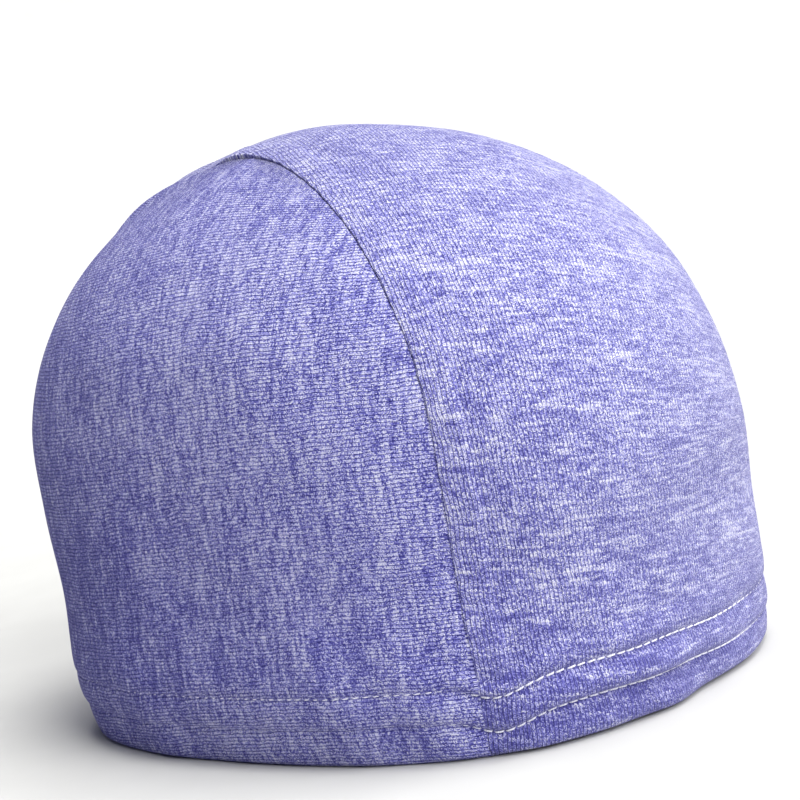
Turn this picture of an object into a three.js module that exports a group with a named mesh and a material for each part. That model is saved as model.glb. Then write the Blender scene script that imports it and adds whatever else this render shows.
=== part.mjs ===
// Knitted skull cap sewn from a centre panel and two side panels, with its hem turned up inside.
// Millimetres, +Z up, forehead towards -Y. The cap rests on its rim at z = 0.
import * as THREE from 'three';

// Cloth and the way it is sewn
const CLOTH = 1.2;
const GAP = 0.3;
const HEM_SWELL = 1.1;
const ALLOWANCE_WIDTH = 7;
const ALLOWANCE_THICKNESS = 1.6;
const ALLOWANCE_LIFT = 0.6;

// Where the crown stands, so that the middle of the whole cap is at the origin
const CROWN_Y = 4.5;

// Level sections from the rim to the crown: half width at the sides, and reach from the
// crown's axis to the forehead and to the nape
const SECTIONS = [
  { height: 0.0, side: 70.5, front: 93.5, back: 85.6 },
  { height: 19.2, side: 75.8, front: 97.7, back: 88.0 },
  { height: 40.4, side: 75.2, front: 99.2, back: 89.5 },
  { height: 62.6, side: 75.0, front: 101.3, back: 92.3 },
  { height: 85.9, side: 74.0, front: 97.4, back: 91.8 },
  { height: 108.1, side: 69.2, front: 86.3, back: 81.2 },
  { height: 128.3, side: 55.5, front: 64.5, back: 62.5 },
  { height: 143.5, side: 29.5, front: 35.0, back: 38.1 },
  { height: 149.5, side: 0.0, front: 0.0, back: 0.0 },
];

// How square a level section is: 2 is an ellipse
const RIM_SQUARENESS = 2.65;
const CROWN_SQUARENESS = 2.0;

// The cap is laid out as a flat disc of radius 1, with the crown in its middle and the rim
// as its edge. A seam's offset there is its distance from the middle line.
const SEAM = [
  { station: 'forehead', offset: 0.628 },
  { station: 'brow', offset: 0.44 },
  { station: 'front of crown', offset: 0.253 },
  { station: 'crown', offset: 0.1 },
  { station: 'back of crown', offset: 0.075 },
  { station: 'back', offset: 0.145 },
  { station: 'nape', offset: 0.24 },
];
const ROUNDING = 0.3;

// Rows of the mesh, as climbs from the rim (0) to the crown (1)
const LOWER_STITCHES = 0.0625;
const UPPER_STITCHES = 0.125;
const TURNUP_TOP = 0.14;
const ALLOWANCE_START = 0.15;
const HEM_ROWS = [0, 0.02, 0.042, LOWER_STITCHES, 0.083, 0.105, UPPER_STITCHES, TURNUP_TOP];
const UPPER_ROWS = 15;
const CENTRE_COLUMNS = 10;
const SIDE_COLUMNS = 20;

const { lerp } = THREE.MathUtils;

// One column of a table as a list for spline(), with one entry more past each end
function column(table, name, pastEnd) {
  const values = table.map((row) => row[name]);
  return [2 * values[0] - values[1], ...values, pastEnd(values)];
}
const straightOn = (values) => 2 * values.at(-1) - values.at(-2);
const overTheCrown = (values) => values.at(-2);
const backFromTheCrown = (values) => -values.at(-2);

const HEIGHT = column(SECTIONS, 'height', overTheCrown);
const SIDE = column(SECTIONS, 'side', backFromTheCrown);
const FRONT = column(SECTIONS, 'front', backFromTheCrown);
const BACK = column(SECTIONS, 'back', backFromTheCrown);
const OFFSET = column(SEAM, 'offset', straightOn);

// Smooth curve through a table's column; place runs from 0 to 1 along it
function spline(values, place) {
  const spans = values.length - 3;
  const span = Math.min(Math.floor(place * spans), spans - 1);
  const f = place * spans - span;
  const [a, b, c, d] = values.slice(span, span + 4);
  return b + 0.5 * f * (c - a + f * (2 * a - 5 * b + 4 * c - d + f * (3 * b - a - 3 * c + d)));
}

// Point of the cap's outer face for a place on the flat disc
function onFace(x, y) {
  const radius = Math.hypot(x, y);
  if (radius === 0) return new THREE.Vector3(0, CROWN_Y, spline(HEIGHT, 1));
  const climb = Math.max(0, 1 - radius);
  const power = lerp(RIM_SQUARENESS, CROWN_SQUARENESS, climb);
  const across = Math.abs(x / radius / spline(SIDE, climb));
  const along = Math.abs(y / radius / spline(y < 0 ? FRONT : BACK, climb));
  const reach = (across ** power + along ** power) ** (-1 / power);
  return new THREE.Vector3(
    (reach * x) / radius,
    CROWN_Y + (reach * y) / radius,
    spline(HEIGHT, climb),
  );
}

// The same point moved out along the face's normal, or into the cap where out is negative.
// The rim stays flat on z = 0.
function offFace([x, y], out) {
  const step = 0.002;
  const alongX = onFace(x + step, y).sub(onFace(x - step, y));
  const alongY = onFace(x, y + step).sub(onFace(x, y - step));
  const point = onFace(x, y).addScaledVector(alongX.cross(alongY).normalize(), out);
  if (Math.hypot(x, y) > 1 - 1e-6) point.z = 0;
  return point;
}

// How far the folded hem stands proud between its rows of stitches
function hemSwell([x, y]) {
  const climb = 1 - Math.hypot(x, y);
  if (climb > UPPER_STITCHES) return 0;
  return HEM_SWELL * Math.abs(Math.sin((Math.PI * climb) / LOWER_STITCHES));
}

// Line across the centre panel at a station from -1, the forehead, to 1, the nape: share
// runs from 0 on the middle line to 1 on the seam. It follows the rim at both ends and goes
// straight over the crown.
function acrossPanel(station, share, widen = 0) {
  const x = share * spline(OFFSET, (station + 1) / 2) + widen;
  const bend = station ** 2 + ROUNDING * (1 - station ** 2) ** 2;
  return [x, station * Math.sqrt(1 - (x * x) / bend)];
}

// Place on a side panel: climb is 0 on the rim and 1 where the seam is highest, share runs
// from the front of the seam to its back. It keeps clear of the centre panel by the gap.
function besidePanel(climb, share) {
  const ends = [climb - 1, 1 - climb].map((station) => {
    const [x, y] = acrossPanel(station, 1);
    const scale = onFace(x, y).distanceTo(onFace(x + 0.01, y)) / 0.01;
    return acrossPanel(station, 1, GAP / scale);
  });
  const radius = lerp(...ends.map(([x, y]) => Math.hypot(x, y)), share);
  const turn = lerp(...ends.map(([x, y]) => Math.atan2(y, x)), share);
  return [radius * Math.cos(turn), radius * Math.sin(turn)];
}

// Closed wall between an outer and an inner grid of points. Rows run upwards and columns
// anticlockwise seen from above. Where a grid gives the same point again, as at the top of a
// side panel or where a ring closes, its faces meet there.
function wall(outer, inner) {
  const indices = new Map();
  const positions = [];
  const index = (point) => {
    if (!indices.has(point)) {
      indices.set(point, indices.size);
      positions.push(point.x, point.y, point.z);
    }
    return indices.get(point);
  };
  const faces = [];
  const quad = (...corners) => {
    const [a, b, c, d] = corners.map(index);
    if (a !== b && b !== c && c !== a) faces.push(a, b, c);
    if (a !== c && c !== d && d !== a) faces.push(a, c, d);
  };
  const rows = outer.length - 1;
  const columns = outer[0].length - 1;
  for (let i = 0; i < rows; i += 1) {
    for (let j = 0; j < columns; j += 1) {
      quad(outer[i][j], outer[i][j + 1], outer[i + 1][j + 1], outer[i + 1][j]);
      quad(inner[i][j], inner[i + 1][j], inner[i + 1][j + 1], inner[i][j + 1]);
    }
    if (outer[0][0] !== outer[0][columns]) {
      quad(outer[i][0], outer[i + 1][0], inner[i + 1][0], inner[i][0]);
      quad(outer[i][columns], inner[i][columns], inner[i + 1][columns], outer[i + 1][columns]);
    }
  }
  for (let j = 0; j < columns; j += 1) {
    quad(outer[0][j], inner[0][j], inner[0][j + 1], outer[0][j + 1]);
    quad(outer[rows][j], outer[rows][j + 1], inner[rows][j + 1], inner[rows][j]);
  }
  const geometry = new THREE.BufferGeometry();
  geometry.setAttribute('position', new THREE.Float32BufferAttribute(positions, 3));
  geometry.setIndex(faces);
  geometry.computeVertexNormals();
  return geometry;
}

const evenly = (count, from, to) =>
  Array.from({ length: count + 1 }, (_, i) => lerp(from, to, i / count));

const climbs = [...HEM_ROWS, ...evenly(UPPER_ROWS, ALLOWANCE_START, 1)];
const stations = [...climbs.map((climb) => climb - 1), ...climbs.map((climb) => 1 - climb)
  .reverse().slice(1)];

// Share of the way from the middle line to the seam where the allowance under it ends
function allowanceEdge(station) {
  return 1 - ALLOWANCE_WIDTH / onFace(...acrossPanel(station, 1)).x;
}

function centreShares(station) {
  const edge = allowanceEdge(station);
  return [-1, ...evenly(CENTRE_COLUMNS, -edge, edge), 1];
}

function centrePanel() {
  const outer = [];
  const inner = [];
  for (const station of stations) {
    const places = centreShares(station).map((share) => acrossPanel(station, share));
    outer.push(places.map((place, j) => {
      const lift = j === 0 || j === places.length - 1 ? ALLOWANCE_LIFT : 0;
      return offFace(place, hemSwell(place) + lift);
    }));
    inner.push(places.map((place) => offFace(place, -CLOTH)));
  }
  return wall(outer, inner);
}

// Side is 1 on the right of the wearer's crown seen from above, +X, and -1 on the left
function sidePlaces(climb, side) {
  const places = evenly(SIDE_COLUMNS, 0, 1).map((share) => besidePanel(climb, share))
    .map(([x, y]) => [side * x, y]);
  return side > 0 ? places : places.reverse();
}

function sidePanel(side) {
  const face = (swell, depth) => climbs.map((climb) => {
    const places = sidePlaces(climb, side);
    if (climb < 1) return places.map((place) => offFace(place, swell * hemSwell(place) - depth));
    return Array(places.length).fill(offFace(places[0], -depth));
  });
  return wall(face(1, 0), face(0, CLOTH));
}

// Cloth folded up inside the rim, all the way round
function hemTurnup() {
  const ring = (climb, depth) => {
    const front = centreShares(climb - 1).map((share) => acrossPanel(climb - 1, share));
    const back = centreShares(1 - climb).map((share) => acrossPanel(1 - climb, share)).reverse();
    const places = [...front, ...sidePlaces(climb, 1).slice(1, -1),
      ...back, ...sidePlaces(climb, -1).slice(1, -1)];
    const points = places.map((place) => offFace(place, -depth));
    return [...points, points[0]];
  };
  const rows = [0, LOWER_STITCHES, TURNUP_TOP];
  const face = (depth) => rows.map((climb) => ring(climb, depth));
  return wall(face(CLOTH + GAP), face(2 * CLOTH + GAP));
}

// Joined edges of the cloth, turned under the centre panel beside one seam
function seamAllowance(side) {
  const long = stations.filter((station) => Math.abs(station) <= 1 - ALLOWANCE_START + 1e-9);
  const face = (depth) => long.map((station) => {
    const shares = [allowanceEdge(station), 1].map((share) => side * share);
    if (side < 0) shares.reverse();
    return shares.map((share) => offFace(acrossPanel(station, share), -depth));
  });
  return wall(face(CLOTH + GAP), face(CLOTH + GAP + ALLOWANCE_THICKNESS));
}

// Cloth colours
const HEATHER = 0x8c88c8;
const HEATHER_SHADED = 0x7c78b8;
const HEATHER_INSIDE = 0xa09dce;

function knit(color) {
  return new THREE.MeshStandardMaterial({ color, roughness: 0.92, metalness: 0 });
}

function piece(name, geometry, color) {
  const mesh = new THREE.Mesh(geometry, knit(color));
  mesh.name = name;
  return mesh;
}

const cap = new THREE.Group();
cap.name = 'skull_cap';
cap.add(
  piece('centre_panel', centrePanel(), HEATHER),
  piece('side_panel_left', sidePanel(-1), HEATHER_SHADED),
  piece('side_panel_right', sidePanel(1), HEATHER_SHADED),
  piece('hem_turnup', hemTurnup(), HEATHER_INSIDE),
  piece('seam_allowance_left', seamAllowance(-1), HEATHER_INSIDE),
  piece('seam_allowance_right', seamAllowance(1), HEATHER_INSIDE),
);

export default cap;
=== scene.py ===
"""Skull cap of heather knit, sewn from a centre panel and two side panels, with a stitched hem.

Shapes are worked out in millimetres with whole numpy arrays and put into meshes in metres. The cap
is laid out as a flat disc of radius 1 with the crown in its middle and the rim as its edge. A place
is a point (x, y) of that disc, and its climb is 1 less its distance from the crown. +Z is up and
the forehead faces -Y.
"""

import logging
import math
from collections.abc import Callable
from dataclasses import dataclass, field
from enum import Enum

import bpy
import numpy as np
from mathutils import Matrix, Vector


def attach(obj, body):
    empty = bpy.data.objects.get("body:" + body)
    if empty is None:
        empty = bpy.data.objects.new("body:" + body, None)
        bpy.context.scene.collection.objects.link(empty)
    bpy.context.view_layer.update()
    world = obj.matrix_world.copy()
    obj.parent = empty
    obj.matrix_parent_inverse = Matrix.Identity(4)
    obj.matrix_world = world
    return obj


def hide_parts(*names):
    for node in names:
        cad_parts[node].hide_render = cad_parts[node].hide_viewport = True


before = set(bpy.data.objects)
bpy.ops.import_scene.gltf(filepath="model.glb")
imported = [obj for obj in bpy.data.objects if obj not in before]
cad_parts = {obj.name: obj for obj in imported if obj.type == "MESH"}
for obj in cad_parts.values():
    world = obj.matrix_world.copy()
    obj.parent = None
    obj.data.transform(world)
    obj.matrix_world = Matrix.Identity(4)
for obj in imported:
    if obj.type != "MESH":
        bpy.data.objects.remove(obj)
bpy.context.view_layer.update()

LOG = logging.getLogger("skull_cap")
BODY = "root"
MM = 0.001
CLOTH_UP = 152.0  # Millimetres of cloth from the rim to the crown, a climb of 1.
SHARP = math.radians(60.0)  # Edges that are bent further than this stay sharp.
TAU = 2.0 * math.pi

Array = np.ndarray
Piece = bpy.types.Object
Material = bpy.types.Material
Socket = bpy.types.NodeSocket
Span = tuple[float, float]
Colour = tuple[float, float, float]
Stops = tuple[tuple[float, Colour], ...]


class Side(Enum):
    """Side of the cap as worn: -1 is the left, towards -X."""

    LEFT = -1
    RIGHT = 1


class Row(Enum):
    """The two rows of hem stitches, counted from the rim."""

    LOWER = "lower"
    UPPER = "upper"


def smooth(value: Array, low: float, high: float) -> Array:
    """Share from 0 at low to 1 at high, levelling out at both ends."""
    share = np.clip((value - low) / (high - low), 0.0, 1.0)
    return share * share * (3.0 - 2.0 * share)


def bell(offset: Array, spread: float | Array) -> Array:
    """Bell of height 1: e to the power of minus the square of the offset over the spread."""
    return np.exp(-((offset / spread) ** 2))


def turned(angle: Array, start: float) -> Array:
    """Turn in degrees from a start to an angle, between -180 and 180."""
    return (angle - start + 180.0) % 360.0 - 180.0


def unit(vectors: Array) -> Array:
    """Vectors scaled to length 1."""
    return vectors / np.maximum(np.linalg.norm(vectors, axis=-1, keepdims=True), 1e-9)


def way_along(points: Array, axis: int = 0) -> Array:
    """Way along lines of points up to each point: the lengths of the steps, added up from 0."""
    steps = np.linalg.norm(np.diff(points, axis=axis), axis=-1)
    return np.insert(steps, 0, 0.0, axis=axis).cumsum(axis)


def place_at(climb: Array, angle: Array) -> tuple[Array, Array]:
    """Place x and y of a climb at an angle about the crown."""
    return (1.0 - climb) * np.cos(angle), (1.0 - climb) * np.sin(angle)


@dataclass(frozen=True)
class Section:
    """Level section of the cap: half width at the sides, reach to the forehead and the nape."""

    height: float
    side: float
    front: float
    back: float


@dataclass(frozen=True)
class Sag:
    """Dip of the rows towards the rim: its angle, its spread on either side, its depth a row."""

    angle: float
    before: float
    after: float
    lower: float
    upper: float


@dataclass(frozen=True)
class Ripple:
    """Uneven wave: its height, the lengths of its sines, the seed of their phases, and over a
    surface its direction."""

    height: float
    periods: tuple[float, ...]
    seed: int
    direction: tuple[float, ...] = ()

    def at(self, place: Array) -> Array:
        """Wave along a line: the mean of the sines at each distance, times the height."""
        phases = np.random.default_rng(self.seed).uniform(0.0, TAU, len(self.periods))
        total = sum(np.sin(TAU * place / p + f) for p, f in zip(self.periods, phases))
        return self.height * (total / len(self.periods))

    def over(self, points: Array) -> Array:
        """Wave over points, by their distance in its direction."""
        return self.at(points @ np.array(self.direction))


@dataclass(frozen=True)
class Roll:
    """How a panel's edge goes down into its seam: the radius of its quarter round and the share
    of the seam's pull that it takes, its puckers and how far they reach."""

    radius: float
    share: float
    pucker: Ripple
    reach: float

    def relief(self, gap: Array, along: Array, pull: Array) -> Array:
        """Quarter round at the seam's pull, and puckers that die out away from the seam.

        Args:
            gap: Distance from the seam.
            along: Distance along it.
            pull: How hard it draws the cloth in.

        Returns:
            Distance out of the face.
        """
        drop = np.clip(1.0 - gap / self.radius, 0.0, 1.0)
        quarter = np.sqrt(np.maximum(1.0 - drop**2, 0.0)) - 1.0
        pucker = self.pucker.at(along) * np.exp(-gap / self.reach)
        return self.share * quarter * pull + pucker * (1.0 - drop)


@dataclass(frozen=True)
class CapForm:
    """Outer face of the cap and the course of its seams, as the construction gives them."""

    sections: tuple[Section, ...] = (
        Section(0.0, 70.5, 93.5, 85.6),
        Section(19.2, 75.8, 97.7, 88.0),
        Section(40.4, 75.2, 99.2, 89.5),
        Section(62.6, 75.0, 101.3, 92.3),
        Section(85.9, 74.0, 97.4, 91.8),
        Section(108.1, 69.2, 86.3, 81.2),
        Section(128.3, 55.5, 64.5, 62.5),
        Section(143.5, 29.5, 35.0, 38.1),
        Section(149.5, 0.0, 0.0, 0.0),
    )
    seam_offsets: tuple[float, ...] = (0.628, 0.44, 0.253, 0.1, 0.075, 0.145, 0.24)
    seam_rounding: float = 0.3
    seam_points: int = 401
    seam_batches: int = 12
    rim_squareness: float = 2.65
    crown_squareness: float = 2.0
    crown_y: float = 4.5
    step: float = 0.002
    tiny: float = 1e-6

    def column(self, name: str) -> Array:
        """One column of the sections for spline(), with one more entry past each end.

        Args:
            name: Field of Section.

        Returns:
            The column; past the crown the height comes down and a reach turns backwards.
        """
        values = [getattr(section, name) for section in self.sections]
        past = values[-2] if name == "height" else -values[-2]
        return np.array([2 * values[0] - values[1], *values, past])

    @staticmethod
    def spline(values: Array, place: Array) -> Array:
        """Smooth curve through evenly spaced values: between two neighbours a cubic whose slope at
        each is half the step from the value before it to the value after it.

        Args:
            values: Values with one more past each end.
            place: Places from 0 to 1 along the curve.

        Returns:
            The curve's value at every place.
        """
        spans = len(values) - 3
        span = np.minimum((place * spans).astype(int), spans - 1)
        f = place * spans - span
        a, b, c, d = (values[span + k] for k in range(4))
        return b + 0.5 * f * (c - a + f * (2 * a - 5 * b + 4 * c - d + f * (3 * b - a - 3 * c + d)))

    def face(self, x: Array, y: Array) -> Array:
        """Point of the outer face: its level section is a superellipse whose size and squareness
        change with the climb, and the point lies in the place's direction from the crown's axis.

        Args:
            x: Places across the disc.
            y: Places along the disc.

        Returns:
            Points, one row of three numbers for each place.
        """
        radius = np.maximum(np.hypot(x, y), self.tiny)
        climb = np.clip(1.0 - radius, 0.0, 1.0)
        power = self.rim_squareness + (self.crown_squareness - self.rim_squareness) * climb
        side = np.maximum(self.spline(self.column("side"), climb), self.tiny)
        ahead = self.spline(self.column("front"), climb)
        behind = self.spline(self.column("back"), climb)
        along = np.maximum(np.where(y < 0, ahead, behind), self.tiny)
        reach = np.abs(x / radius / side) ** power + np.abs(y / radius / along) ** power
        reach = reach ** (-1.0 / power)
        height = self.spline(self.column("height"), climb)
        return np.stack([reach * x / radius, self.crown_y + reach * y / radius, height], -1)

    def surface(self, x: Array, y: Array) -> tuple[Array, Array]:
        """The face and its direction, the cross product of its slopes across and along the disc.

        Args:
            x: Places across the disc.
            y: Places along the disc.

        Returns:
            The points and their outward unit normals.
        """
        across = self.face(x + self.step, y) - self.face(x - self.step, y)
        along = self.face(x, y + self.step) - self.face(x, y - self.step)
        return self.face(x, y), unit(np.cross(across, along))

    def across_panel(self, station: Array, share: Array) -> tuple[Array, Array]:
        """Line across the centre panel that follows the rim at both ends of the panel and goes
        straight over the crown.

        Args:
            station: From -1, the forehead, to 1, the nape.
            share: From 0 on the middle line to 1 on the seam.

        Returns:
            The places' x and y.
        """
        row = self.seam_offsets
        offsets = np.array([2 * row[0] - row[1], *row, 2 * row[-1] - row[-2]])
        x = share * self.spline(offsets, (station + 1.0) / 2.0)
        bend = station**2 + self.seam_rounding * (1.0 - station**2) ** 2
        return x, station * np.sqrt(np.maximum(1.0 - x * x / bend, 0.0))

    def beside_panel(self, climb: Array, share: Array) -> tuple[Array, Array]:
        """Line along the right side panel, turned evenly about the crown from the seam's front
        to its back.

        Args:
            climb: From 0 on the rim to 1 where the seam is highest.
            share: From 0 at the front of the seam to 1 at its back.

        Returns:
            The places' x and y.
        """
        one = np.ones_like(climb)
        (x0, y0), (x1, y1) = (self.across_panel(s, one) for s in (climb - 1.0, 1.0 - climb))
        near, far = np.hypot(x0, y0), np.hypot(x1, y1)
        first, last = np.arctan2(y0, x0), np.arctan2(y1, x1)
        radius = near + (far - near) * share
        turn = first + (last - first) * share
        return radius * np.cos(turn), radius * np.sin(turn)

    def seam_gap(self, points: Array) -> tuple[Array, Array]:
        """How far points of the face lie from the nearer seam, square to it.

        Args:
            points: Grid of points of the face.

        Returns:
            The distance from the seam, and the distance along it from the forehead.
        """
        station = np.linspace(-1.0, 1.0, self.seam_points)
        line = self.face(*self.across_panel(station, np.ones_like(station)))
        tangent = unit(np.gradient(line, axis=0))
        flat = points.reshape(-1, 3) * 1.0
        flat[:, 0] = np.abs(flat[:, 0])
        near = np.concatenate([((line**2).sum(1) - 2.0 * part @ line.T).argmin(1)
                               for part in np.array_split(flat, self.seam_batches)])
        offset = flat - line[near]
        ahead = (offset * tangent[near]).sum(1)
        aside = np.linalg.norm(offset - ahead[:, None] * tangent[near], axis=1)
        along = way_along(line)[near] + ahead
        return aside.reshape(points.shape[:-1]), along.reshape(points.shape[:-1])


@dataclass(frozen=True)
class Sewing:
    """Thickness of the cloth and the relief that its hem and its seams give it."""

    cloth: float = 1.2
    clearance: float = 0.02
    # Hem: climbs and angles of its rows, their swells, grooves and the rise above them.
    rows: dict[Row, float] = field(default_factory=lambda: {Row.LOWER: 0.067, Row.UPPER: 0.1215})
    sags: tuple[Sag, ...] = (
        Sag(-127.0, 4.5, 5.5, 0.0245, 0.02),
        Sag(-80.0, 18.0, 30.0, 0.0105, 0.0135),
        Sag(-49.0, 6.0, 2.0, 0.01, 0.008),
        Sag(105.0, 2.0, 6.0, 0.012, 0.01),
        Sag(75.0, 5.0, 2.0, 0.01, 0.012),
    )
    turnup_top: float = 0.14
    swell: float = 0.5
    front_swell: float = 2.1
    skew: float = 0.65
    front_angle: float = -106.0
    front_spread: float = 22.0
    groove: float = 0.45
    front_groove: float = 0.2
    groove_spread: float = 0.0045
    uneven_hem: Ripple = Ripple(0.2, (37.0, 19.0, 11.3), 4)
    pinch_spread: float = 4.0
    rise: float = 0.35
    rise_reach: float = 0.045
    pinch_rise: float = 0.6
    pinch_reach: float = 0.02
    flare: float = 1.5
    flare_angle: float = -58.0
    flare_spread: float = 30.0
    flare_start: Span = (0.3, 3.0)
    flare_end: Span = (6.0, 17.0)
    rim_end: Span = (0.0, 1.6)
    # Dents of the stretched cloth.
    dents_across: Ripple = Ripple(0.45, (71.0, 43.0), 11, (1.0, 0.0, 0.4))
    dents_along: Ripple = Ripple(1.0, (83.0, 47.0), 12, (0.0, 1.0, -0.3))
    low_dents: Ripple = Ripple(0.35, (31.0, 23.0), 13, (0.8, -1.0, 0.5))
    low_dents_end: Span = (10.0, 60.0)
    # Seams: their pull and wander, the band raised by the allowance, and the slack behind.
    pull: float = 0.1
    crown_pull: float = 0.32
    pull_heights: Span = (50.0, 138.0)
    even_pull: float = 0.7
    uneven_pull: Ripple = Ripple(0.45, (2.3, 3.7, 6.1), 20)
    seam_wander: Ripple = Ripple(0.28, (3.1, 4.7, 7.3, 19.0), 24)
    wander_reach: float = 2.5
    allowance_width: float = 7.0
    allowance_thickness: float = 1.6
    allowance_start: float = 0.15
    allowance_lift: float = 0.6
    hem_lift: float = 0.2
    lift_heights: Span = (10.0, 32.0)
    band_edge: Ripple = Ripple(0.5, (41.0, 17.0), 21)
    band_end: Span = (-0.6, 1.6)
    sink: float = 0.2
    uneven_sink: Ripple = Ripple(0.35, (4.1, 6.3, 9.7), 25)
    sink_heights: Span = (90.0, 128.0)
    sink_reach: float = 1.3
    crest: float = 0.6
    crest_y: float = 10.0
    crest_spread: float = 9.0
    crest_heights: Span = (120.0, 140.0)
    back_drop: float = 1.6
    drop_reach: float = 14.0
    back_slack: float = 0.9
    slack_spread: float = 30.0
    back_ridge: float = 1.0
    ridge_gap: float = 5.5
    ridge_spread: float = 3.8
    back_places: Span = (12.0, 25.0)
    back_heights: Span = (80.0, 125.0)
    centre_roll: Roll = Roll(1.4, 1.0, Ripple(0.1, (5.3, 7.9, 11.7), 22), 3.5)
    side_roll: Roll = Roll(1.2, 0.7, Ripple(0.12, (4.9, 8.3, 12.9), 23), 4.0)

    def row_climb(self, row: Row, angle: Array) -> Array:
        """Climb of a row of stitches: its own climb less a bell at each sag, quick on one side
        and slow on the other.

        Args:
            row: Which row.
            angle: Angles about the crown in degrees, 0 towards +X and -90 at the forehead.

        Returns:
            The climb at every angle.
        """
        climb = np.full_like(angle, self.rows[row])
        for sag in self.sags:
            turn = turned(angle, sag.angle)
            depth = sag.lower if row is Row.LOWER else sag.upper
            climb = climb - depth * bell(turn, np.where(turn < 0.0, sag.before, sag.after))
        return climb

    def bulge(self, share: Array) -> Array:
        """Half a sine over a share from 0 to 1, skewed towards its start."""
        return np.sin(math.pi * np.clip(share, 0.0, 1.0) ** self.skew)

    def hem(self, x: Array, y: Array) -> Array:
        """Relief of the hem: a swell between the rim and the lower row and one between the rows,
        pinched in sharply where the stitches hold them, and a soft rise above the upper row.

        Args:
            x: Places across the disc.
            y: Places along the disc.

        Returns:
            Distance out of the face.
        """
        climb, angle = 1.0 - np.hypot(x, y), np.degrees(np.arctan2(y, x))
        lower, upper = (self.row_climb(row, angle) for row in Row)
        pinch = bell(angle - self.sags[0].angle, self.pinch_spread)
        rise = self.bulge((climb - upper) / (self.rise_reach - self.pinch_reach * pinch))
        rise = rise * (self.rise + self.pinch_rise * pinch)
        swells = self.bulge(climb / lower) + self.bulge((climb - lower) / (upper - lower)) + rise
        held = bell(climb - lower, self.groove_spread) + bell(climb - upper, self.groove_spread)
        front = bell(angle - self.front_angle, self.front_spread)
        swell = (self.swell + self.front_swell * front) * (1.0 + self.uneven_hem.at(angle))
        return swell * swells - (self.groove + self.front_groove * front) * held

    def dents(self, points: Array) -> Array:
        """Soft unevenness of the stretched cloth: two crossed waves, and a third low down."""
        low = 1.0 - smooth(points[..., 2], *self.low_dents_end)
        crossed = self.dents_across.over(points) * self.dents_along.over(points)
        return crossed + low * self.low_dents.over(points)

    def flared(self, x: Array, y: Array, height: Array) -> Array:
        """Flare of the hem at the right temple, a bell over the angle that fades with height."""
        turn = turned(np.degrees(np.arctan2(y, x)), self.flare_angle)
        fade = smooth(height, *self.flare_start) * (1.0 - smooth(height, *self.flare_end))
        return self.flare * bell(turn, self.flare_spread) * fade

    def ground(self, x: Array, y: Array, points: Array) -> Array:
        """Relief away from the seams: the hem, the dents and the flare."""
        return self.hem(x, y) + self.dents(points) + self.flared(x, y, points[..., 2])

    def fold(self, height: Array) -> Array:
        """Quarter round of the cloth's own thickness, by which the face turns under at the rim."""
        drop = np.clip(self.cloth - height, 0.0, self.cloth)
        return np.sqrt(np.maximum(self.cloth**2 - drop**2, 0.0)) - self.cloth

    def seam_pull(self, height: Array, along: Array) -> Array:
        """How hard a seam draws the cloth in: little at the hem, most over the crown, unevenly."""
        pull = self.pull + self.crown_pull * smooth(height, *self.pull_heights)
        return pull * (self.even_pull + self.uneven_pull.at(along))

    def lift(self, height: Array) -> Array:
        """How far the allowance lifts the centre panel: little in the hem, all of it above."""
        share = self.hem_lift + (1.0 - self.hem_lift) * smooth(height, *self.lift_heights)
        return self.allowance_lift * share

    def wander(self, gap: Array, along: Array, side: Array) -> Array:
        """How far a seam strays towards +X: a wave along it that dies out away from it."""
        return self.seam_wander.at(along) * np.exp(-gap / self.wander_reach) * np.sign(side)

    def behind(self, points: Array) -> Array:
        """Share from 0 before the crown to 1 behind it, fading down towards the nape."""
        back = smooth(points[..., 1], *self.back_places)
        return back * smooth(points[..., 2], *self.back_heights)

    def centre_edge(self, points: Array, gap: Array, along: Array) -> Array:
        """Relief of the centre panel beside its seam: the cloth lies raised over the allowance,
        with a crest at the crown and a drop behind it, sinks in unevenly and rolls into the seam.

        Args:
            points: Points of the face.
            gap: Distance from the seam.
            along: Distance along the seam.

        Returns:
            Distance out of the face.
        """
        height = points[..., 2]
        width = self.allowance_width + self.band_edge.at(along)
        lift = self.lift(height) * (1.0 - smooth(gap - width, *self.band_end))
        lift = lift - self.back_drop * self.behind(points) * np.exp(-gap / self.drop_reach)
        crest = bell(points[..., 1] - self.crest_y, self.crest_spread)
        crest = crest * smooth(height, *self.crest_heights)
        lift = lift + self.crest * crest * np.exp(-gap / self.crest_spread)
        sink = np.clip(self.sink + self.uneven_sink.at(along), 0.0, 1.0)
        sink = sink * (1.0 - smooth(height, *self.sink_heights))
        lift = lift * (1.0 - sink * np.exp(-gap / self.sink_reach))
        return lift + self.centre_roll.relief(gap, along, self.seam_pull(height, along))

    def side_edge(self, points: Array, gap: Array, along: Array) -> Array:
        """Relief of a side panel beside the seam: the cloth rolls down into it, and behind the
        crown it lies slack but for a soft ridge beside the seam.

        Args:
            points: Points of the face.
            gap: Distance from the seam.
            along: Distance along the seam.

        Returns:
            Distance out of the face.
        """
        slack = self.back_slack * bell(gap, self.slack_spread)
        slack = slack - self.back_ridge * bell(gap - self.ridge_gap, self.ridge_spread)
        roll = self.side_roll.relief(gap, along, self.seam_pull(points[..., 2], along))
        return roll - slack * self.behind(points)


def quads(rows: int, columns: int, ring: bool = False) -> Array:
    """Corner numbers of a grid's faces, rows upwards and columns anticlockwise from above.

    Args:
        rows: Points up the grid.
        columns: Points along it.
        ring: Whether the last column joins the first.

    Returns:
        Four corner numbers for each face.
    """
    i, j = np.meshgrid(np.arange(rows - 1), np.arange(columns if ring else columns - 1),
                       indexing="ij")
    a = (i * columns + j).ravel()
    b = (i * columns + (j + 1) % columns).ravel()
    return np.stack([a, b, b + columns, a + columns], 1)


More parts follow.
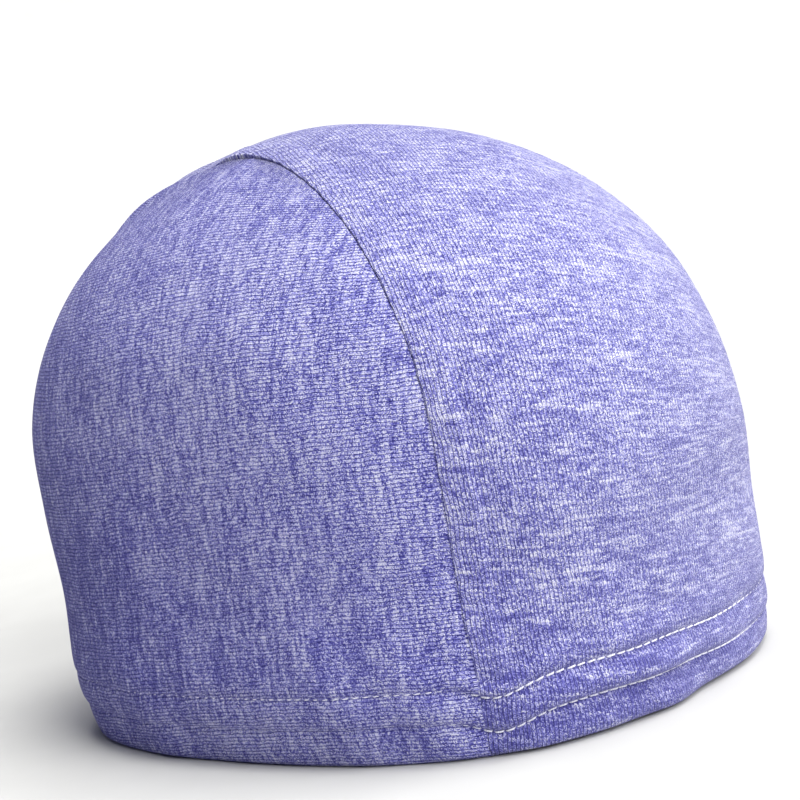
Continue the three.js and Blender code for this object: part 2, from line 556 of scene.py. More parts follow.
def closed_wall(name: str, outer: Array, inner: Array, cloth: Array, ring: bool = False,
                pole: bool = False) -> Piece:
    """Closed shell between an outer and an inner grid of points, with a strip along each border.

    Args:
        name: Name of the piece.
        outer: Outer grid.
        inner: Inner grid.
        cloth: Grid of cloth coordinates, across the wales and along them.
        ring: Whether the last column joins the first.
        pole: Whether the top row is one point.

    Returns:
        The piece as a new object.
    """
    rows, columns = outer.shape[:2]
    count = rows * columns
    front = quads(rows, columns, ring)
    edge = np.arange(columns if ring else columns - 1)
    after = (edge + 1) % columns
    top = (rows - 1) * columns
    strips = [front, front[:, ::-1] + count,
              np.stack([edge + count, after + count, after, edge], 1)]
    if not pole:
        strips.append(np.stack([top + edge, top + after, top + after + count,
                                top + edge + count], 1))
    if not ring:
        low = np.arange(rows - 1) * columns
        high, end = low + columns, columns - 1
        strips.append(np.stack([low, high, high + count, low + count], 1))
        strips.append(np.stack([low + end, low + end + count, high + end + count, high + end], 1))
    faces = np.concatenate(strips)
    if pole:
        same = np.arange(2 * count)
        same[top:count] = top
        same[top + count:] = top + count
        faces = same[faces]
    points = np.concatenate([outer.reshape(-1, 3), inner.reshape(-1, 3)])
    return mesh_object(name, points, faces, np.concatenate([cloth.reshape(-1, 2)] * 2))


def mesh_object(name: str, points: Array, faces: Array, flat: Array) -> Piece:
    """New mesh object at the origin with smooth faces and its cloth coordinates as UV map.

    Args:
        name: Name of the object.
        points: Points in millimetres.
        faces: Four corner numbers a face; a corner given twice in a row leaves a triangle.
        flat: Cloth coordinates of each point.

    Returns:
        The object, linked to the scene.
    """
    keep = faces != np.roll(faces, 1, axis=1)
    sizes = keep.sum(1)
    corners = faces[keep]
    corners, sizes = corners[np.repeat(sizes, sizes) > 2], sizes[sizes > 2]
    used, corners = np.unique(corners, return_inverse=True)
    mesh = bpy.data.meshes.new(name)
    mesh.vertices.add(len(used))
    mesh.vertices.foreach_set("co", (points[used] * MM).ravel())
    mesh.loops.add(len(corners))
    mesh.loops.foreach_set("vertex_index", corners.ravel())
    mesh.polygons.add(len(sizes))
    mesh.polygons.foreach_set("loop_start", np.concatenate([[0], np.cumsum(sizes)[:-1]]))
    mesh.update(calc_edges=True)
    layer = mesh.uv_layers.new(name="cloth")
    layer.data.foreach_set("uv", flat[used][corners.ravel()].astype(np.float32).ravel())
    mesh.polygons.foreach_set("use_smooth", np.ones(len(sizes), bool))
    mesh.set_sharp_from_angle(angle=SHARP)
    mesh.validate()
    obj = bpy.data.objects.new(name, mesh)
    bpy.context.scene.collection.objects.link(obj)
    return obj


def set_down(piece: Piece, finish: Material, node: str | None = None) -> Piece:
    """Gives a piece its material and its body, and hides the CAD node that it stands for.

    Args:
        piece: The new piece.
        finish: Its material.
        node: CAD node that it replaces.

    Returns:
        The same piece.
    """
    piece.data.materials.append(finish)
    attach(piece, BODY)
    if node:
        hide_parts(node)
    piece.data.calc_loop_triangles()
    LOG.info("%s: %d triangles", piece.name, len(piece.data.loop_triangles))
    return piece


class Graph:
    """Short way to write a node material: every method adds a node and returns its output."""

    def __init__(self, name: str) -> None:
        """Starts a material with its shader.

        Args:
            name: Name of the material.
        """
        self.material = bpy.data.materials.new(name)
        self.material.use_nodes = True
        self.nodes = self.material.node_tree.nodes
        self.links = self.material.node_tree.links
        self.nodes.clear()
        self.shader = self.nodes.new("ShaderNodeBsdfPrincipled")
        output = self.nodes.new("ShaderNodeOutputMaterial")
        self.links.new(self.shader.outputs[0], output.inputs["Surface"])

    def put(self, socket: Socket, value: object) -> None:
        """Links or sets one input.

        Args:
            socket: The input.
            value: An output to link to it, or its value.
        """
        if isinstance(value, Socket):
            self.links.new(value, socket)
        else:
            socket.default_value = value

    def node(self, kind: str, output: str | int = 0, **inputs: object) -> Socket:
        """Adds a node.

        Args:
            kind: Node type without its ShaderNode prefix.
            output: Output to return.
            inputs: Attributes in lower case, and sockets by name with spaces as underscores.

        Returns:
            The output socket.
        """
        node = self.nodes.new("ShaderNode" + kind)
        for key, value in inputs.items():
            if key[0].islower():
                setattr(node, key, value)
        for key, value in inputs.items():
            if not key[0].islower():
                self.put(node.inputs[key.replace("_", " ")], value)
        return node.outputs[output]

    def math(self, operation: str, *values: object) -> Socket:
        """Adds a math node.

        Args:
            operation: What it works out.
            values: One, two or three numbers or outputs.

        Returns:
            The result.
        """
        node = self.nodes.new("ShaderNodeMath")
        node.operation = operation
        for socket, value in zip(node.inputs, values):
            self.put(socket, value)
        return node.outputs[0]

    def pair(self, x: object, y: object, z: object = 0.0) -> Socket:
        """Joins numbers to a vector."""
        return self.node("CombineXYZ", X=x, Y=y, Z=z)

    def split(self, vector: Socket) -> list[Socket]:
        """Takes a vector apart into its three numbers."""
        node = self.nodes.new("ShaderNodeSeparateXYZ")
        self.put(node.inputs[0], vector)
        return list(node.outputs)

    def noise(self, x: object, y: object, detail: float = 2.0, rough: float = 0.55) -> Socket:
        """Adds a soft noise over two numbers, from 0 to 1 about 0.5."""
        return self.node("TexNoise", "Fac", noise_dimensions="2D", Vector=self.pair(x, y),
                         Scale=1.0, Detail=detail, Roughness=rough)

    def draw(self, x: object, y: object) -> Socket:
        """Draws a number from 0 to 1 for each pair of numbers."""
        return self.node("TexWhiteNoise", "Value", noise_dimensions="2D", Vector=self.pair(x, y))

    def span(self, value: object, low: float, high: float, to_low: float = 0.0,
             to_high: float | Socket = 1.0) -> Socket:
        """Maps low..high to another span and stops at its ends."""
        return self.node("MapRange", Value=value, From_Min=low, From_Max=high, To_Min=to_low,
                         To_Max=to_high)

    def multiply(self, colour: Socket, factors: Socket) -> Socket:
        """Multiplies a colour by factors for red, green and blue.

        Args:
            colour: The colour.
            factors: The factors.

        Returns:
            The product.
        """
        node = self.nodes.new("ShaderNodeMix")
        node.data_type, node.blend_type = "RGBA", "MULTIPLY"
        node.inputs[0].default_value = 1.0
        self.put(node.inputs[6], colour)
        self.put(node.inputs[7], factors)
        return node.outputs[2]

    def ramp(self, value: object, stops: Stops) -> Socket:
        """Adds a colour ramp.

        Args:
            value: What runs along it.
            stops: Place and linear colour of each stop.

        Returns:
            The colour.
        """
        node = self.nodes.new("ShaderNodeValToRGB")
        self.put(node.inputs[0], value)
        for index, (place, colour) in enumerate(stops):
            points = node.color_ramp.elements
            point = points[index] if index < 2 else points.new(place)
            point.position, point.color = place, (*colour, 1.0)
        return node.outputs[0]

    def finish(self, colour: object, roughness: object, height: object, depth: float) -> Material:
        """Joins colour, roughness and relief to the shader.

        Args:
            colour: Base colour.
            roughness: Roughness.
            height: Relief from 0 to 1.
            depth: What 1 stands for, in metres.

        Returns:
            The material.
        """
        self.put(self.shader.inputs["Base Color"], colour)
        self.put(self.shader.inputs["Roughness"], roughness)
        normal = self.node("Bump", Height=height, Distance=depth, Strength=1.0)
        self.put(self.shader.inputs["Normal"], normal)
        return self.material


@dataclass(frozen=True)
class Loops:
    """Where a point lies in the jersey: its place across the ribs and along them, within its rib
    and from the rib's middle, its course as a running and a whole number, and the random numbers
    of its stitch, of the stitch's leg and of a fleck."""

    across: Socket
    along: Socket
    inside: Socket
    lean: Socket
    courses: Socket
    course: Socket
    stitch: Socket
    leg: Socket
    fleck: Socket


@dataclass(frozen=True)
class HeatherKnit:
    """Jersey of space-dyed yarn: ribs of V-shaped stitches, with pale and violet lengths of yarn
    running along the courses, and painted shade and light that shift its tone over the cap. Sizes
    are in millimetres of cloth, and the heights and places of the painted shade and light are in
    metres on the piece."""

    name: str = "heather_knit"
    # Ribs and courses.
    wale: float = 1.0
    course: float = 0.72
    wobble: float = 1.2
    wobble_rate: float = 0.12
    fleck: float = 0.27
    # Tone from 0, violet, to 1, pale, and the painted shade and light that shift it over the cap.
    middle: float = 0.485
    # Painted shade: the tone is darker towards the rim over the low heights.
    low_painted_shade: float = -0.13
    low_heights: Span = (0.0, 0.08)
    # Painted shade: the tone is darker towards the back, +Y.
    back_painted_shade: float = -0.26
    back_places: Span = (0.02, 0.08)
    # Painted shade and light in the hem band near the rim: darker where below 0, paler where above 0.
    turnup_painted_shade_and_light: float = -0.17
    turnup_heights: Span = (0.013, 0.026)
    # Painted light: the tone is paler towards the crown.
    crown_painted_light: float = 0.03
    crown_heights: Span = (0.07, 0.12)
    # Painted shade: the tone is darker at the top.
    top_painted_shade: float = -0.1
    top_heights: Span = (0.118, 0.148)
    # Uneven yarn: shares of each kind of unevenness, and the sizes of the soft ones.
    contrast: float = 0.87
    loop_share: float = 0.2
    fleck_share: float = 1.16
    yarn_share: float = 0.5
    streak_share: float = 0.9
    cloud_share: float = 0.5
    streak_length: float = 11.0
    streak_width: float = 0.95
    yarn_length: float = 0.45
    cloud: float = 17.0
    cloud_height: float = 0.6
    pale_length: float = 14.0
    pale_gain: float = 0.32
    dark_length: float = 4.5
    dark_gain: float = 0.16
    lengths_seen: Span = (0.6, 0.7)
    yarn_step: float = 7.31
    pale_step: float = 5.17
    dark_step: float = 6.43
    # Painted shade in the grooves between the ribs, fainter towards +X by groove_fade.
    groove_shade: float = 0.58
    groove_range: float = 0.22
    groove_tint: float = 0.5
    groove_fade: float = 0.16
    fade_places: Span = (-0.01, 0.04)
    # Relief, gloss and colour.
    rib_roundness: float = 2.5
    rib_height: float = 0.5
    leg_height: float = 0.35
    fleck_height: float = 0.4
    depth: float = 0.00035
    roughness: Span = (0.82, 0.95)
    specular: float = 0.2
    sheen: float = 0.3
    sheen_roughness: float = 0.5
    sheen_tint: Colour = (0.85, 0.85, 1.0)
    # Factor on the blue of the shades; the side knit's larger one is painted shade, the blue cast of a
    # panel in shade.
    blue: float = 1.03
    shades: Stops = (
        (0.0, (0.057, 0.054, 0.260)),
        (0.33, (0.147, 0.145, 0.440)),
        (0.62, (0.318, 0.318, 0.590)),
        (1.0, (0.596, 0.596, 0.695)),
    )

    def loops(self, g: Graph) -> Loops:
        """Lays out the ribs, which wobble a little, and the courses, which lean up to both sides
        of each rib and so give its stitches their V.

        Args:
            g: The material.

        Returns:
            The numbers that the other methods read.
        """
        across, along, _ = g.split(g.node("UVMap", uv_map="cloth"))
        soft = g.noise(g.math("MULTIPLY", across, self.wobble_rate),
                       g.math("MULTIPLY", along, self.wobble_rate))
        wobble = g.math("MULTIPLY", soft, self.wobble)
        wales = g.math("DIVIDE", g.math("ADD", across, wobble), self.wale)
        inside = g.math("FRACT", wales)
        lean = g.math("ABSOLUTE", g.math("SUBTRACT", inside, 0.5))
        courses = g.math("ADD", g.math("DIVIDE", along, self.course), lean)
        course = g.math("FLOOR", courses)
        stitch = g.draw(g.math("FLOOR", wales), course)
        leg = g.draw(g.math("FLOOR", g.math("MULTIPLY", wales, 2.0)), course)
        fleck = g.draw(g.math("FLOOR", g.math("DIVIDE", across, self.fleck)),
                       g.math("FLOOR", g.math("DIVIDE", along, self.fleck)))
        return Loops(across, along, inside, lean, courses, course, stitch, leg, fleck)

    def tone(self, g: Graph, k: Loops, place: list[Socket]) -> Socket:
        """Adds up the tone: its middle, the painted shade and light over the cap, every kind of
        unevenness, and the pale and dark lengths of yarn in single courses.

        Args:
            g: The material.
            k: Its loops.
            place: Place on the piece.

        Returns:
            The tone.
        """
        _, y, z = place
        changes = ((z, self.low_heights, self.low_painted_shade, 0.0),
                   (y, self.back_places, 0.0, self.back_painted_shade),
                   (z, self.turnup_heights, self.turnup_painted_shade_and_light, 0.0),
                   (z, self.crown_heights, 0.0, self.crown_painted_light),
                   (z, self.top_heights, 0.0, self.top_painted_shade))
        tone = self.middle
        for number, reach, low, high in changes:
            tone = g.math("ADD", tone, g.span(number, *reach, low, high))
        yarn = g.noise(g.math("DIVIDE", k.across, self.streak_length * self.yarn_length),
                       g.math("MULTIPLY", k.course, self.yarn_step), 1.0)
        streak = g.noise(g.math("DIVIDE", k.across, self.streak_length),
                         g.math("DIVIDE", k.along, self.streak_width), 3.0)
        cloud = g.noise(g.math("DIVIDE", k.across, self.cloud),
                        g.math("DIVIDE", k.along, self.cloud * self.cloud_height), 3.0)
        for part, share in ((k.stitch, self.loop_share), (k.leg, self.loop_share),
                            (k.fleck, self.fleck_share), (yarn, self.yarn_share),
                            (streak, self.streak_share), (cloud, self.cloud_share)):
            uneven = g.math("SUBTRACT", part, 0.5)
            tone = g.math("MULTIPLY_ADD", uneven, share * self.contrast, tone)
        pale = g.noise(g.math("DIVIDE", k.across, self.pale_length),
                       g.math("MULTIPLY", k.course, self.pale_step), 1.0)
        twos = g.math("FLOOR", g.math("MULTIPLY", k.courses, 0.5))
        dark = g.noise(g.math("DIVIDE", k.across, self.dark_length),
                       g.math("MULTIPLY", twos, self.dark_step), 1.0)
        tone = g.math("ADD", tone, g.span(pale, *self.lengths_seen, 0.0, self.pale_gain))
        return g.math("SUBTRACT", tone, g.span(dark, *self.lengths_seen, 0.0, self.dark_gain))

    def grooves(self, g: Graph, k: Loops, place: list[Socket]) -> Socket:
        """Paints shade into the colour between the ribs, red and green more than blue, by a cosine
        over each rib that is deeper at some stitches than at others and fainter towards +X.

        Args:
            g: The material.
            k: Its loops.
            place: Place on the piece.

        Returns:
            Factors for red, green and blue.
        """
        ridge = g.math("COSINE", g.math("MULTIPLY", k.inside, TAU))
        deepest = g.span(k.stitch, 0.0, 1.0, self.groove_shade - self.groove_range,
                         self.groove_shade + self.groove_range)
        fade = g.span(place[0], *self.fade_places, 0.0, self.groove_fade)
        gap = g.span(ridge, 0.0, 1.0, 1.0, g.math("ADD", deepest, fade))
        return g.pair(gap, gap, g.math("POWER", gap, self.groove_tint))

    def relief(self, g: Graph, k: Loops) -> Socket:
        """Adds up the relief: rounded ribs, the beads of both legs of each stitch, and flecks.

        Args:
            g: The material.
            k: Its loops.

        Returns:
            The height.
        """
        bead = g.math("SINE", g.math("MULTIPLY", g.math("FRACT", k.courses), math.pi))
        side = g.math("POWER", g.math("MULTIPLY", k.lean, 2.0), self.rib_roundness)
        legs = g.math("ABSOLUTE", g.math("SINE", g.math("MULTIPLY", k.inside, TAU)))
        ribs = g.math("MULTIPLY", g.math("SUBTRACT", 1.0, side), self.rib_height)
        height = g.math("MULTIPLY_ADD", g.math("MULTIPLY", legs, bead), self.leg_height, ribs)
        return g.math("MULTIPLY_ADD", k.fleck, self.fleck_height, height)

    def make(self) -> Material:
        """Builds the material from the cloth coordinates and the place on the piece.

        Returns:
            The material.
        """
        g = Graph(self.name)
        k = self.loops(g)
        place = g.split(g.node("TexCoord", "Object"))
        shades = tuple((tone, (red, green, blue * self.blue))
                       for tone, (red, green, blue) in self.shades)
        colour = g.multiply(g.ramp(self.tone(g, k, place), shades), self.grooves(g, k, place))
        g.shader.inputs["Sheen Weight"].default_value = self.sheen
        g.shader.inputs["Sheen Roughness"].default_value = self.sheen_roughness
        g.shader.inputs["Sheen Tint"].default_value = (*self.sheen_tint, 1.0)
        g.shader.inputs["Specular IOR Level"].default_value = self.specular
        roughness = g.span(k.stitch, 0.0, 1.0, *self.roughness)
        return g.finish(colour, roughness, self.relief(g, k), self.depth)


# Knit of the side panels, the turn-up and the allowances: the centre knit matched to the side panel
# seen in shade. Its paler middle is painted light; its bluer shades and deeper grooves are painted
# shade.
SIDE_KNIT = HeatherKnit(
    name="heather_knit_side", wale=0.95, middle=0.555, low_painted_shade=-0.2, back_painted_shade=-0.32,
    back_places=(-0.005, 0.08), turnup_painted_shade_and_light=0.16, crown_painted_light=0.0, contrast=0.9,
    streak_length=12.0, streak_width=1.3, pale_length=9.0, pale_gain=0.27, groove_shade=0.4,
    groove_fade=0.0, sheen=0.12, blue=1.1)


@dataclass(frozen=True)
class WhiteThread:
    """Twisted sewing thread: pale, with the slanting ridges of its plies and painted shade between
    them.
    """

    name: str = "white_thread"
    colour: Colour = (0.86, 0.86, 0.95)
    # Painted shade between the plies.
    dim: Colour = (0.62, 0.62, 0.80)
    ply: float = 0.5
    bright_from: float = 0.6
    specular: float = 0.35
    roughness: Span = (0.75, 0.5)
    depth: float = 0.00005

    def make(self) -> Material:
        """Builds the material from the thread's own coordinates.

        Returns:
            The material.
        """
        g = Graph(self.name)
        place, around, _ = g.split(g.node("UVMap", uv_map="cloth"))
        turn = g.math("ADD", g.math("DIVIDE", place, self.ply), around)
        ridge = g.math("ABSOLUTE", g.math("SINE", g.math("MULTIPLY", turn, math.pi)))
        colour = g.ramp(ridge, ((0.0, self.dim), (self.bright_from, self.colour)))
        g.shader.inputs["Specular IOR Level"].default_value = self.specular
        return g.finish(colour, g.span(ridge, 0.0, 1.0, *self.roughness), ridge, self.depth)


@dataclass(frozen=True)
class PaleFloor:
    """Matt pale studio floor with a faint grain."""

    name: str = "pale_floor"
    tone: float = 0.5
    mottle: float = 0.01
    grain: float = 40.0
    detail: float = 2.0
    marks: Span = (0.3, 0.7)
    roughness: float = 0.9
    depth: float = 0.0001

    def make(self) -> Material:
        """Builds the material.

        Returns:
            The material.
        """
        g = Graph(self.name)
        where = g.node("TexCoord", "Object")
        grain = g.node("TexNoise", "Fac", Vector=where, Scale=self.grain, Detail=self.detail)
        greys = ((self.tone - self.mottle,) * 3, (self.tone + self.mottle,) * 3)
        colour = g.ramp(grain, tuple(zip(self.marks, greys)))
        return g.finish(colour, self.roughness, grain, self.depth)


@dataclass(frozen=True)
class CapGrid:
    """How finely the panels are divided. Rows crowd at the rim's fold and along the hem, and
    columns at the seams, where the relief is tight."""

    fold_rows: int = 7
    hem_step: float = 0.0046
    hem_top: float = 0.17
    upper_rows: int = 118
    seam_gaps: tuple[float, ...] = (0.0, 0.07, 0.16, 0.3, 0.48, 0.7, 0.95, 1.25, 1.6, 2.1, 2.8, 3.6,
                                    4.5, 5.3, 5.9, 6.4, 6.8, 7.2, 7.6, 8.0, 8.5, 9.2, 10.2)
    centre_columns: int = 84
    side_columns: int = 150
    front_half_width: float = 60.0
    side_length: float = 245.0

    @staticmethod
    def fold_climbs(radius: float, count: int) -> Array:
        """Climbs of points up the quarter round of the rim's fold."""
        return radius * (1.0 - np.sin(np.linspace(math.pi / 2.0, 0.0, count))) / CLOTH_UP

    def climbs(self, cloth: float) -> Array:
        """Climbs of the rows from the rim to the highest seam.

        Args:
            cloth: Thickness of the cloth, the radius of the rim's fold.

        Returns:
            Rising climbs, 0 to 1.
        """
        fold = self.fold_climbs(cloth, self.fold_rows)
        hem = np.arange(fold[-1] + self.hem_step * 0.5, self.hem_top, self.hem_step)
        upper = np.linspace(hem[-1] + self.hem_step, 1.0, self.upper_rows)
        return np.concatenate([fold, hem, upper])

    def centre_shares(self) -> Array:
        """Shares of the columns across the centre panel, -1 to 1, close together at both seams."""
        edge = 1.0 - np.array(self.seam_gaps) / self.front_half_width
        middle = np.linspace(-edge[-1], edge[-1], self.centre_columns)
        return np.concatenate([-edge, middle[1:-1], edge[::-1]])

    def side_shares(self) -> Array:
        """Shares of the columns along a side panel, 0 to 1, close together at both seams."""
        edge = np.array(self.seam_gaps) / self.side_length
        middle = np.linspace(edge[-1], 1.0 - edge[-1], self.side_columns)
        return np.concatenate([edge, middle[1:-1], 1.0 - edge[::-1]])


@dataclass(frozen=True)
class Sewn:
    """A piece of the cap, which lies on its form and takes its relief from the sewing."""

    form: CapForm
    sewing: Sewing


@dataclass(frozen=True)
class Panel(Sewn):
    """What the panels share: how finely they are divided, and the walls over their grids."""

    grid: CapGrid

    def walls(self, x: Array, y: Array, edge: Callable[[Array, Array, Array], Array]
              ) -> tuple[Array, Array, Array, Array]:
        """Outer face with its relief, turned under at the rim, and plain inner face.

        Args:
            x: Places of the grid across the disc.
            y: Places along it.
            edge: Relief beside the seam.

        Returns:
            Points and normals of the bare face, then the outer and the inner grid.
        """
        s = self.sewing
        points, normals = self.form.surface(x, y)
        gap, along = self.form.seam_gap(points)
        relief = s.ground(x, y, points) + edge(points, gap, along)
        relief = relief * smooth(points[..., 2], *s.rim_end) + s.fold(points[..., 2])
        outer = points + normals * relief[..., None]
        outer[..., 0] += s.wander(gap, along, points[..., 0])
        return points, normals, outer, points - normals * s.cloth


@dataclass(frozen=True)
class CentrePanel(Panel):
    """Panel from the forehead over the crown to the nape. Its wales run over the cap at an angle
    to its middle line, and its courses fall a little towards the right temple."""

    wale_turn: float = 33.0
    straight_places: Span = (12.0, 52.0)
    course_fall: float = 0.17
    base_share: float = -0.5
    name: str = "centre_panel_cloth"

    def cloth(self, points: Array, normals: Array, base: int) -> Array:
        """Cloth coordinates: steps between neighbouring points, measured square to the wales and
        along them, are added up along one column and from there along each row. The wales lie in
        upright planes turned from the middle line, and less so towards the right seam.

        Args:
            points: Grid of points of the face.
            normals: Their normals.
            base: Column that the rows are measured from.

        Returns:
            Distance across the wales and along them for every point.
        """
        bent = 1.0 - smooth(points[..., 0], *self.straight_places)
        turn = math.radians(self.wale_turn) * bent
        plane = np.stack([np.cos(turn), -np.sin(turn), np.zeros_like(turn)], -1)
        square = unit(plane - normals * (normals * plane).sum(-1, keepdims=True))
        result = []
        for direction in (square, np.cross(normals, square)):
            mean_up = 0.5 * (direction[1:, base] + direction[:-1, base])
            up = (np.diff(points[:, base], axis=0) * mean_up).sum(1)
            mean_row = 0.5 * (direction[:, 1:] + direction[:, :-1])
            row = (np.diff(points, axis=1) * mean_row).sum(2)
            up, row = np.insert(up, 0, 0.0).cumsum(), np.insert(row, 0, 0.0, axis=1).cumsum(1)
            result.append(up[:, None] + row - row[:, base:base + 1])
        across, courses = result
        return np.stack([across, courses + self.course_fall * across], -1)

    def build(self, finish: Material) -> Piece:
        """Builds the panel and dresses it.

        Args:
            finish: The knit.

        Returns:
            The piece.
        """
        climbs = self.grid.climbs(self.sewing.cloth)
        stations = np.concatenate([climbs - 1.0, (1.0 - climbs)[-2::-1]])
        shares = self.grid.centre_shares()
        places = self.form.across_panel(*np.meshgrid(stations, shares, indexing="ij"))
        points, normals, outer, inner = self.walls(*places, self.sewing.centre_edge)
        outer[[0, -1], :, 2] = inner[[0, -1], :, 2] = 0.0
        base = int(np.abs(shares - self.base_share).argmin())
        piece = closed_wall(self.name, outer, inner, self.cloth(points, normals, base))
        return set_down(piece, finish, "centre_panel")


@dataclass(frozen=True)
class SidePanel(Panel):
    """Panel over one ear, from the rim up to its seam. Its wales run level round the cap and
    arch a little over the temple."""

    side: Side
    arch: float = 5.0
    arch_middle: float = -40.0
    arch_length: float = 50.0
    even_height: float = 60.0
    bend_start: float = 50.0
    bend_radius: float = 66.0
    bend_heights: Span = (60.0, 130.0)

    def reach(self, points: Array) -> Array:
        """Place of points along the cap from the forehead: their y, and behind the ear the way
        round a level bend, which gives way to y again towards the crown.

        Args:
            points: Points of the face.

        Returns:
            The place in millimetres.
        """
        x, y, z = np.abs(points[..., 0]), points[..., 1], points[..., 2]
        past = np.maximum(y - self.bend_start, 0.0)
        round_way = self.bend_radius * np.arctan2(past, x)
        return y + (1.0 - smooth(z, *self.bend_heights)) * (round_way - past)

    def places(self) -> tuple[Array, Array]:
        """Places of the panel's grid, its columns anticlockwise seen from above.

        Returns:
            The places' x and y.
        """
        grid = np.meshgrid(self.grid.climbs(self.sewing.cloth), self.grid.side_shares(),
                           indexing="ij")
        x, y = self.form.beside_panel(*grid)
        x = x * self.side.value
        return (x, y) if self.side is Side.RIGHT else (x[:, ::-1], y[:, ::-1])

    def cloth(self, points: Array) -> Array:
        """Cloth coordinates: the way up each column from the rim, arched over the temple, and the
        way along the row at an even height up to the same distance from the forehead.

        Args:
            points: Grid of points of the face.

        Returns:
            Distance across the wales and along them for every point.
        """
        line = points[np.abs(points[:, 0, 2] - self.even_height).argmin()]
        line = line[np.argsort(self.reach(line))]
        turn = (points[..., 1] - self.arch_middle) / self.arch_length
        courses = np.interp(self.reach(points), self.reach(line), way_along(line))
        return np.stack([way_along(points) + self.arch * (1.0 - np.cos(turn)), courses], -1)

    def build(self, finish: Material) -> Piece:
        """Builds the panel and dresses it.

        Args:
            finish: The knit.

        Returns:
            The piece.
        """
        points, _, outer, inner = self.walls(*self.places(), self.sewing.side_edge)
        shift = np.array([self.side.value * self.sewing.clearance, 0.0, 0.0])
        outer[0, :, 2] = inner[0, :, 2] = 0.0
        outer[-1], inner[-1] = outer[-1, :1], inner[-1, :1]
        name = "side_panel_" + self.side.name.lower()
        piece = closed_wall(name + "_cloth", outer + shift, inner + shift, self.cloth(points),
                            pole=True)
        return set_down(piece, finish, name)


@dataclass(frozen=True)
class HemTurnup(Sewn):
    """Cloth folded up inside the rim all the way round, held by both rows of stitches."""

    columns: int = 420
    rows: int = 34
    fold_rows: int = 6
    raw_edge: float = 0.006
    raw_outer: float = 0.3
    raw_inner: float = 0.45
    held: float = 0.3
    held_spread: float = 0.005
    held_heights: Span = (0.5, 3.0)
    name: str = "hem_turnup_cloth"

    def build(self, finish: Material) -> Piece:
        """Builds the ring: it starts where the panels' fold ends, under the rim, it is pinched in
        at the rows, and its raw top edge is rounded.

        Args:
            finish: The knit.

        Returns:
            The piece.
        """
        s = self.sewing
        fold = CapGrid.fold_climbs(s.cloth, self.fold_rows)
        climb = np.concatenate([fold, np.linspace(fold[-1], s.turnup_top, self.rows)[1:]])
        angle = np.linspace(0.0, TAU, self.columns, endpoint=False)
        climb, angle = np.meshgrid(climb, angle, indexing="ij")
        points, normals = self.form.surface(*place_at(climb, angle))
        height = points[..., 2]
        raw = smooth(climb, s.turnup_top - self.raw_edge, s.turnup_top)
        near = s.cloth + s.clearance
        far = near + s.cloth + s.fold(height) - self.raw_inner * raw
        held = sum(bell(climb - s.row_climb(row, np.degrees(angle)), self.held_spread)
                   for row in Row)
        far = far - self.held * held * smooth(height, *self.held_heights)
        outer = points - normals * (near + self.raw_outer * raw)[..., None]
        inner = points - normals * far[..., None]
        outer[0, :, 2] = inner[0, :, 2] = 0.0
        cloth = np.stack([height, way_along(points, 1)], -1)
        piece = closed_wall(self.name, outer, inner, cloth, ring=True)
        return set_down(piece, finish, "hem_turnup")


@dataclass(frozen=True)
class SeamAllowance(Sewn):
    """Joined edges of the cloth under the centre panel beside one seam, a flat strip."""

    side: Side
    rows: int = 240
    columns: int = 12
    last_share: float = 0.985
    clearance: float = 0.08
    rounding: float = 0.5
    near_rounding: float = 0.6
    uneven: Ripple = Ripple(0.18, (9.0, 14.0, 23.0), 31)
    length: float = 180.0

    def build(self, finish: Material) -> Piece:
        """Builds the strip: its width is laid off square to the seam, and its edges are rounded.

        Args:
            finish: The knit.

        Returns:
            The piece.
        """
        s = self.sewing
        reach = 1.0 - s.allowance_start
        station = np.linspace(-reach, reach, self.rows)[:, None]
        seam = self.form.face(*self.form.across_panel(station, np.ones_like(station)))
        edge = 1.0 - s.allowance_width / seam[..., 0]
        share = edge + (1.0 - edge) * np.linspace(0.0, self.last_share, self.columns)
        share = share * self.side.value
        share = share if self.side is Side.RIGHT else share[:, ::-1]
        points, normals = self.form.surface(*self.form.across_panel(station, share))
        across = np.linspace(-1.0, 1.0, self.columns)
        round_off = self.rounding * np.abs(across) ** 6
        near = s.cloth + self.clearance + round_off * self.near_rounding
        far = s.cloth + self.clearance + s.allowance_thickness - round_off
        far = far + self.uneven.at(station * self.length)
        outer = points - normals * near[:, None]
        inner = points - normals * far[..., None]
        name = "seam_allowance_" + self.side.name.lower()
        cloth = np.stack(self.form.seam_gap(points), -1)
        piece = closed_wall(name + "_cloth", outer, inner, cloth)
        return set_down(piece, finish, name)


